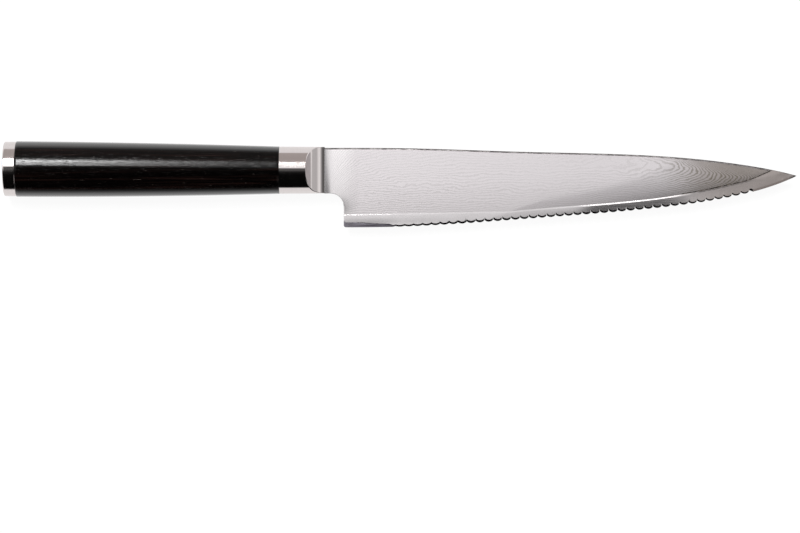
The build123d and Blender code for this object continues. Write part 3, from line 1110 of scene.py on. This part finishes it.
    def core_line(self, x):
        """The level at which the cladding ends on the face at x."""
        flat = self.spine_y - (self.spine_half - self.core_half
                               + self.fall_x * (x - self.heel_x)) / self.fall_y
        low = max(flat, self.spine_y - self.belly.value(x))
        # Near the tip the line turns up to the spine in a round nose
        share = (self.share_at(x) - self.nose[0]) / (self.nose[1] - self.nose[0])
        if share <= 0:
            return low
        return mix(low, self.top(x), 1 - math.sqrt(max(0.0, 1 - share * share)))

    def from_neck(self, x, y):
        """The distance of a point from the edge round the neck and down the heel."""
        if x >= self.heel_x:
            return math.hypot(x - self.heel_x, max(0, y - self.turn_y))
        radius = self.sizes.neck_radius
        if x < self.heel_x - radius:
            return y - self.neck_y
        return math.hypot(x - self.heel_x + radius, y - self.turn_y) - radius

    def face(self, x, y):
        """Half the blade's thickness with its edges softened and its neck flared."""
        s = self.sizes
        plain = self.plain_face(x, y)
        flare_end = BOLSTER_FRONT_X + self.flare_share * s.neck_length
        reach = self.evening_share * s.neck_length
        if x < BOLSTER_FRONT_X + reach:
            share = ((BOLSTER_FRONT_X + reach - x) / reach) ** self.evening_power
            share *= smooth(self.neck_y - self.evening_depth, self.neck_y, y)
            plain = mix(plain, self.spine_half, share)
        if x < flare_end:
            share = ((flare_end - x) / (flare_end - BOLSTER_FRONT_X)) ** 2
            plain = mix(plain, self.bolster.scoop_height(BOLSTER_FRONT_X), share)
        height = plain
        neck_softness = s.heel_softness * (self.neck_softening if x < self.heel_x else 1)
        for away, softness in ((self.top(x) - y, s.spine_softness),
                               (self.from_neck(x, y), neck_softness)):
            if x < flare_end:
                softness *= max(self.front_softening,
                                (x - BOLSTER_FRONT_X) / (flare_end - BOLSTER_FRONT_X))
            radius = min(softness, self.most_rounding * plain)
            if away < radius:
                away = max(0, away)
                height -= radius - math.sqrt(radius**2 - (radius - away)**2)
        return max(height, self.thinnest)

    def step(self, x, below, depth):
        """How far the core stands off the plain face, below the line where the cladding ends."""
        share = self.share_at(x)
        amount = eased(self.step_stops, share)
        if share > self.patchy_from:
            worn = (math.sin(share * self.fast_wear)
                    + math.sin(share * self.slow_wear + self.wear_shift))
            amount *= 1 - self.patchiness + self.patchiness * smooth(*self.wear_span, worn)
        start, end = (widths * self.step_width for widths in self.step_fade)
        rise = smooth(0, self.step_width, below) * (1 - smooth(start, end, below))
        down = min(1.0, below / max(depth, self.least_depth))
        full = eased(self.edge_fullness, share) * MM * (1 - down)
        full *= min(1.0, below / self.swell)
        return self.sizes.core_step * amount * rise + full

    def notch(self, i):
        """The point of a notch between two teeth."""
        s = self.sizes
        share = mix(self.first_notch, self.last_notch, i / s.tooth_count)
        growth = mix(self.shallowest, 1.0, min(1, i / self.deepening))
        return self.edge.at(share) + self.edge.inward(share) * (s.tooth_depth * growth)

    def make_outline(self):
        """Stations along the lower outline: (x, y, bevel rise, kind)."""
        s = self.sizes
        found = [(x, self.neck_y, s.edge_rise, "neck") for x in
                 shares(self.neck_count, BOLSTER_FRONT_X, self.heel_x - s.neck_radius)]
        for turn in shares(self.turn_count, 0, math.pi / 2)[1:]:
            found.append((self.heel_x - s.neck_radius * (1 - math.sin(turn)),
                          self.turn_y + s.neck_radius * math.cos(turn), s.edge_rise, "neck"))
        for turn in shares(self.turn_count, 0, math.pi / 2)[:-1]:
            found.append((self.heel_x + s.heel_radius * (1 - math.cos(turn)),
                          self.edge_y + s.heel_radius * (1 - math.sin(turn)),
                          s.heel_rise, "blade"))

        def add(points, rise):
            found.extend((p[0], p[1], rise, "blade") for p in points)

        # The plain stretch at the heel, whose bevel gets lower towards the teeth
        run_in = self.run_in / self.edge.length
        for share in shares(self.heel_count, 0, self.first_notch - run_in):
            done = share / self.first_notch
            rise = mix(s.heel_rise, s.edge_rise, smooth(*self.bevel_fade, done))
            rise *= mix(1, self.bevel_end, done)
            add([self.edge.at(share)], max(s.edge_rise, rise))
        start, stop = Vector(found[-1][:2]), self.notch(0)
        add([start.lerp(stop, share) for share in shares(4)[1:-1]], s.edge_rise)
        # Each tooth is an arc between two notches
        for tooth in range(s.tooth_count):
            a, c = self.notch(tooth), self.notch(tooth + 1)
            b = self.edge.at(mix(self.first_notch, self.last_notch,
                                 (tooth + 0.5) / s.tooth_count))
            centre, radius = self.circle(a, b, c)
            from_angle = math.atan2(a[1] - centre[1], a[0] - centre[0])
            to_angle = math.atan2(c[1] - centre[1], c[0] - centre[0])
            if to_angle < from_angle:
                to_angle += 2 * math.pi
            add([(centre[0] + radius * math.cos(angle), centre[1] + radius * math.sin(angle))
                 for angle in shares(self.tooth_points, from_angle, to_angle)[:-1]],
                s.edge_rise)
        # The plain stretch at the tip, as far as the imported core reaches
        last = self.notch(s.tooth_count)
        add([last], s.edge_rise)
        add([last.lerp(self.edge.at(self.last_notch + run_in), 0.5)], s.tip_rise)
        end_share = 1.0
        while self.edge.at(end_share)[0] > TIP_X:
            end_share -= self.trim_step
        add([self.edge.at(share) for share in
             shares(self.tip_count, self.last_notch + run_in, end_share)], s.tip_rise)
        return found

    def circle(self, a, b, c):
        """Centre and radius of the circle through three points."""
        ab, ac = b - a, c - a
        cross = 2 * (ab[0] * ac[1] - ab[1] * ac[0])
        ux = (ac[1] * ab.length_squared - ab[1] * ac.length_squared) / cross
        uy = (ab[0] * ac.length_squared - ac[0] * ab.length_squared) / cross
        return Vector((a[0] + ux, a[1] + uy)), math.hypot(ux, uy)

    def cladding_columns(self):
        """Columns of (x, upper levels, lower levels) down the cladding's face."""
        s = self.sizes
        edge_rows = [s.spine_softness * a for a in self.edge_shares]
        foot_rows = [s.heel_softness * a for a in self.foot_shares]
        columns = []
        for x, low, _, kind in self.stations:
            top, line = self.top(x), self.core_line(x)
            if line >= top - self.thinnest:
                break
            split = low if kind == "neck" else mix(top, line, self.split)
            high = [max(top - a, split) for a in edge_rows]
            levels = shares(14, high[-1], max(split, min(high[-1], split + foot_rows[0])))[1:-1]
            upper = high + levels + [min(high[-1], split + a) for a in foot_rows]
            lower = None
            if kind == "blade":
                lower = shares(7, split, min(split, line + self.foot_width)) + [line]
            columns.append((x, upper, lower))
        return columns

    def core_ring(self, station):
        """One cross-section of the core as (y, z), from the spine's right side round the edge."""
        x, low, rise, kind = station
        s = self.sizes
        top = self.top(x)
        half = self.core_half
        spine_rows = [s.spine_softness * a for a in self.core_edge_shares]
        if kind == "neck":
            right = [(max(low, top - a), half) for a in spine_rows]
            right += [(low, half)] * (len(self.core_rows) + 2)
            return right + [(low, 0)] + [(y, -z) for y, z in reversed(right)]

        def side(y):
            return min(half, self.face(x, y))

        slant = rise / s.edge_thickness
        left_half = right_half = self.face(x, low)
        bottom = low - (left_half - self.edge_half) * s.edge_rise / s.edge_thickness
        # The bevel's top edge lies on the face, which is found in a few rounds
        for _ in range(self.bevel_rounds):
            peak = low + (right_half + self.edge_half) * slant
            right_half = self.face(x, min(peak, top))
        peak = min(peak, top)
        line = max(min(self.core_line(x), top), peak)
        depth = line - self.edge.value(x)
        spine_levels = [max(line, top - a) for a in spine_rows]
        right = [(y, side(y)) for y in spine_levels]
        levels = [max(peak, line - a * MM) for a in self.core_rows]
        levels.append(mix(levels[-1], peak, 0.5))
        right += [(y, side(y) + self.step(x, line - y, depth)) for y in levels]
        right.append((peak, right_half))
        left = [(mix(bottom, line, a), -side(mix(bottom, line, a)))
                for a in shares(self.left_rows)[1:]]
        left += [(y, -side(y)) for y in reversed(spine_levels)]
        return right + [(low, -self.edge_half), (bottom, -left_half)] + left


class KNIFE_OT_claddings(bpy.types.Operator):
    """Layered cladding steel on both faces of the blade"""

    bl_idname = "knife.claddings"
    bl_label = "Claddings"

    # A face looks out to the side where this share of its normal points there
    faces_out = 0.5

    def execute(self, context):
        blade = Blade(context)
        for side, name, node in ((1, "cladding_right_face", "cladding_right"),
                                 (-1, "cladding_left_face", "cladding_left")):
            bm = bmesh.new()
            self.add_face(bm, blade, side)
            self.add_back(bm, blade.middle_z + side * blade.core_half)
            piece = finish_mesh(
                bm, name, (node,),
                ("layered_steel_etched", "spine_steel_coarse_shaded", "core_line_painted_shade"), crease=38)
            # Towards the tip the cladding's last strip is painted dark, as shade of the groove
            # above the core
            shade_x = blade.heel_x + blade.etched_from * blade.length
            for face in piece.data.polygons:
                x, y, _ = face.center
                if x > shade_x and abs(face.normal[2]) > self.faces_out:
                    if 0 < y - blade.core_line(x) < blade.foot_width:
                        face.material_index = 2
        return {"FINISHED"}

    def add_face(self, bm, blade, side):
        """The cladding's outer face, above and below the level of the neck."""
        def lift(x, y):
            half = max(blade.face(x, y), blade.core_half)
            return Vector((x, y, blade.middle_z + side * half))

        columns = blade.cladding_columns()
        add_grid(bm, [[lift(x, y) for y in upper] for x, upper, _ in columns],
                 band=len(blade.edge_shares) - 1)
        add_grid(bm, [[lift(x, y) for y in lower] for x, _, lower in columns if lower])
        bmesh.ops.remove_doubles(bm, verts=bm.verts[:], dist=SAME_PLACE)

    def add_back(self, bm, back_z):
        """The flat back that lies on the core, and the walls round it."""
        outer = bm.faces[:]
        rim = [e for e in bm.edges if len(e.link_faces) == 1]
        under = {}
        for vert in bm.verts[:]:
            under[vert] = bm.verts.new((vert.co[0], vert.co[1], back_z))
        for face in outer:
            bm.faces.new([under[v] for v in reversed(face.verts)])
        for edge in rim:
            a, b = edge.verts
            bm.faces.new((a, b, under[b], under[a]))


class KNIFE_OT_core(bpy.types.Operator):
    """Hard core steel with the serrated cutting edge"""

    bl_idname = "knife.core"
    bl_label = "Core and edge"

    # By their normals: the spine looks up, and the heel's bevel lies between edge and face
    looks_up, bevel_normals, bevel_reach = 0.15, (0.3, 0.99), 1.5

    def execute(self, context):
        blade = Blade(context)
        rings = []
        for station in blade.stations:
            ring = blade.core_ring(station)
            rings.append((station[0], [Vector((y, z + blade.middle_z)) for y, z in ring]))
        bm = bmesh.new()
        add_rings(bm, rings)
        piece = finish_mesh(
            bm, "core_edge", ("blade_core",),
            ("core_steel_ground", "edge_steel_coarse_shaded", "spine_steel_coarse_shaded"), crease=10)
        notch_x = blade.edge.at(blade.first_notch)[0]
        bevel_top = blade.edge_y + blade.sizes.heel_rise * self.bevel_reach
        steep, level = self.bevel_normals
        for face in piece.data.polygons:
            x, y, _ = face.center
            _, up, out = face.normal
            if y > blade.top(x) - blade.sizes.spine_softness and up > self.looks_up:
                face.material_index = 2
            if blade.heel_x < x < notch_x and y < bevel_top and steep < out < level:
                face.material_index = 1
        return {"FINISHED"}


class KNIFE_OT_tang_parts(bpy.types.Operator):
    """Finishes for the hidden tang bar and the adhesive round it"""

    bl_idname = "knife.tang_parts"
    bl_label = "Tang and adhesive"

    def execute(self, context):
        for node, name in (("tang", "tang_steel_rolled"), ("adhesive", "adhesive_cured")):
            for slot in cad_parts[node].material_slots:
                slot.material = material_called(name)
        return {"FINISHED"}


class Studio(Graph):
    """The world's light, as levels over angles in degrees across and along the knife."""

    # How bright a full ramp is overhead and beyond the tip, and on the spine's side
    full_level, wall_level, panel_level, lamp_level = 1.3, 1.25, 0.43, 95.0
    # How far the overhead light's edge leans along the knife, and up to which angle
    lean, steepest = 0.16, 9.0

    def __init__(self, world):
        world.use_nodes = True
        super().__init__(world.node_tree)
        self.tree.nodes.clear()
        direction = self.node("TexCoord").outputs["Generated"]
        x, y, z = self.node("SeparateXYZ", direction).outputs
        self.across = self.times(self.math("ARCTAN2", y, z), 180 / math.pi)
        self.along = self.times(self.math("ARCTAN2", x, z), 180 / math.pi)

    def patch(self, across, along):
        """A mask of a patch of the room, from its ramps across and along."""
        return self.times(self.degrees(self.along, *along), self.degrees(self.across, *across))

    def overhead(self):
        """Light from above, which fades towards the cutting edge's side and the tip."""
        held = self.math("MINIMUM", self.math("MAXIMUM", self.along, -self.steepest),
                         self.steepest)
        slide = self.sum(self.times(self.across, -1.0), self.times(held, self.lean))
        level = self.degrees(
            slide, (-20, 0.84), (2.0, 0.84), (3.4, 0.80), (4.8, 0.74), (5.6, 0.52), (6.7, 0.08),
            (8, 0.02), (10, 0.02), (14, 0.12), (17, 0.035), (20, 0.006), (27, 0.002))
        fade = self.degrees(self.along, (-1, 1.0), (3, 0.88), (5, 0.87))
        above = self.brighter(level, self.times(self.full_level, fade))
        beside = self.degrees(self.along, (-70, 1.0), (-62, 1.25), (-20, 1.25), (-14, 0.94))
        butt_side = self.patch(((-20, 0.0), (-15, 1.0)), ((-20, 1.0), (-14, 0.0)))
        return self.blend(butt_side, above, self.brighter(beside, self.full_level))

    def spine_side(self):
        """A tall lamp near the butt, a soft panel and a warm grey wall."""
        lamp = self.times(self.patch(
            ((12, 0.0), (15, 0.5), (20, 0.45), (24, 0.35), (28, 1.0), (34, 1.0), (36, 0.0)),
            ((-18, 0.0), (-15, 1.0), (-6.5, 1.0), (-4.8, 0.13), (-3.6, 0.02), (-3.0, 0.0))),
            self.lamp_level)
        glint = self.patch(((5, 0.0), (8, 1.0), (26, 1.0), (32, 0.0)),
                           ((1.5, 0.0), (3, 1.0), (9, 1.0), (12, 0.0)))
        height = self.degrees(self.across, (7, 0.0), (13, 1.0), (31.5, 1.0), (34.2, 0.0))
        panel = self.times(height, self.sum(lamp, glint, self.panel_level))
        wall = self.degrees(self.across, (8, 0.90), (11, 0.45), (34, (0.36, 0.33, 0.315)),
                            (80, (0.42, 0.39, 0.375)), (88, 0.80))
        return self.vector("ADD", self.brighter(wall, self.wall_level), panel)

    def room(self):
        """The light from all round, with what stands beyond the tip and far out."""
        room = self.blend(self.degrees(self.across, (8, 0.0), (11, 1.0)), self.overhead(),
                          self.spine_side())
        # Beyond the tip: a grey panel between darker gaps
        far = self.degrees(
            self.along, (7, 0.73), (9.5, 0.67), (11.8, 0.54), (14.1, 0.33), (16, 0.10),
            (26, 0.11), (31, 0.26), (35, 0.50), (41, 0.84), (44, 0.82), (48.5, 0.70),
            (58, 0.46), (70, 0.47), (84, 0.48))
        strip = self.times(self.degrees(self.across, (-15, 0.0), (-11, 1.0)),
                           self.degrees(self.across, (20, 1.0), (30, 0.0)))
        beyond = self.times(strip, self.degrees(self.along, (8.1, 0.0), (9.6, 1.0)))
        room = self.blend(beyond, room, self.brighter(far, self.full_level))
        # A pale panel low in the corner beyond the tip
        corner = self.patch(((-54, 0.0), (-49, 1.0), (-32, 1.0), (-28, 0.0)),
                            ((12, 0.0), (15, 1.0), (38, 1.0), (43, 0.0)))
        room = self.blend(corner, room, (0.55, 0.53, 0.52))
        # Far out to both sides, and down to the horizon, the room is white
        sideways = self.times(
            self.degrees(self.math("ABSOLUTE", self.along), (55, 0.0), (65, 1.0)),
            self.degrees(self.across, (-26, 0.0), (-20, 1.0)))
        horizon = self.degrees(self.math("ABSOLUTE", self.across), (78, 0.0), (84, 1.0))
        out = self.times(self.math("MAXIMUM", horizon, sideways),
                         self.math("SUBTRACT", 1.0, beyond))
        return self.blend(out, room, (1.0, 1.0, 1.0))


class KNIFE_OT_stage(bpy.types.Operator):
    """Pale floor, soft studio light and the camera"""

    bl_idname = "knife.stage"
    bl_label = "Stage"

    def execute(self, context):
        settings = context.scene.knife_stage
        self.add_floor(settings)
        self.add_light(context, settings)
        self.add_camera(context, settings)
        context.scene.view_settings.view_transform = "Standard"
        return {"FINISHED"}

    def add_floor(self, settings):
        """The floor, a hair below the knife, and its white as the camera sees it."""
        bm = bmesh.new()
        bmesh.ops.create_grid(bm, x_segments=2, y_segments=2, size=settings.floor_size)
        mesh = bpy.data.meshes.new("floor")
        bm.to_mesh(mesh)
        bm.free()
        floor = bpy.data.objects.new("floor", mesh)
        floor.location.z = -0.05 * MM
        bpy.context.collection.objects.link(floor)
        material = bpy.data.materials.new("floor_white")
        material.use_nodes = True
        g = Graph(material.node_tree)
        g.tree.nodes.clear()
        diffuse = g.node("BsdfDiffuse", Color=settings.floor_colour)
        glow = g.node("Emission", Color=(1, 1, 1), Strength=1.0)
        rays = g.node("LightPath").outputs
        seen = g.math("MAXIMUM", rays["Is Camera Ray"], g.math(
            "MAXIMUM", rays["Is Glossy Ray"], rays["Is Transmission Ray"]))
        both = g.node("MixShader", g.times(seen, 0.93), diffuse.outputs[0], glow.outputs[0])
        g.node("OutputMaterial", both.outputs[0])
        mesh.materials.append(material)

    def add_light(self, context, settings):
        """The studio as the world's light."""
        world = bpy.data.worlds.new("studio")
        context.scene.world = world
        studio = Studio(world)
        back = studio.node("Background", Color=studio.room(), Strength=settings.light_level)
        studio.node("OutputWorld", back.outputs[0])

    def add_camera(self, context, settings):
        """A camera that looks straight down."""
        data = bpy.data.cameras.new("camera")
        data.lens = settings.lens
        data.sensor_width = 36
        data.clip_start, data.clip_end = 0.05, 50
        camera = bpy.data.objects.new("camera", data)
        camera.location = (settings.camera_x, settings.camera_y, settings.camera_height)
        context.collection.objects.link(camera)
        context.scene.camera = camera


class KNIFE_PT_pieces(bpy.types.Panel):
    """The knife's pieces, the stage and their settings"""

    bl_idname = "KNIFE_PT_pieces"
    bl_label = "Tomato Knife"
    bl_space_type = "VIEW_3D"
    bl_region_type = "UI"
    bl_category = "Knife"

    def draw(self, context):
        layout = self.layout
        for operator in STEPS:
            layout.operator(operator.bl_idname)
        for name, kind in GROUPS:
            box = layout.box()
            for setting in kind.__annotations__:
                box.prop(getattr(context.scene, name), setting)


STEPS = (KNIFE_OT_stage, KNIFE_OT_grip, KNIFE_OT_end_cap, KNIFE_OT_bolster,
         KNIFE_OT_claddings, KNIFE_OT_core, KNIFE_OT_tang_parts)
GROUPS = (("knife_handle", HandleSizes), ("knife_blade", BladeSizes),
          ("knife_finish", Finishes), ("knife_stage", StageSettings))


def register():
    """Registers the settings, the operators and the panel."""
    for name, group in GROUPS:
        bpy.utils.register_class(group)
        setattr(bpy.types.Scene, name, PointerProperty(type=group))
    for cls in STEPS:
        bpy.utils.register_class(cls)
    bpy.utils.register_class(KNIFE_PT_pieces)


def unregister():
    """Takes them all away again."""
    bpy.utils.unregister_class(KNIFE_PT_pieces)
    for cls in reversed(STEPS):
        bpy.utils.unregister_class(cls)
    for name, group in reversed(GROUPS):
        delattr(bpy.types.Scene, name)
        bpy.utils.unregister_class(group)


def main():
    """Builds the whole knife."""
    register()
    bpy.ops.knife.stage()
    bpy.ops.knife.grip()
    bpy.ops.knife.end_cap()
    bpy.ops.knife.bolster()
    bpy.ops.knife.claddings()
    bpy.ops.knife.core()
    bpy.ops.knife.tang_parts()


if __name__ == "__main__":
    main()
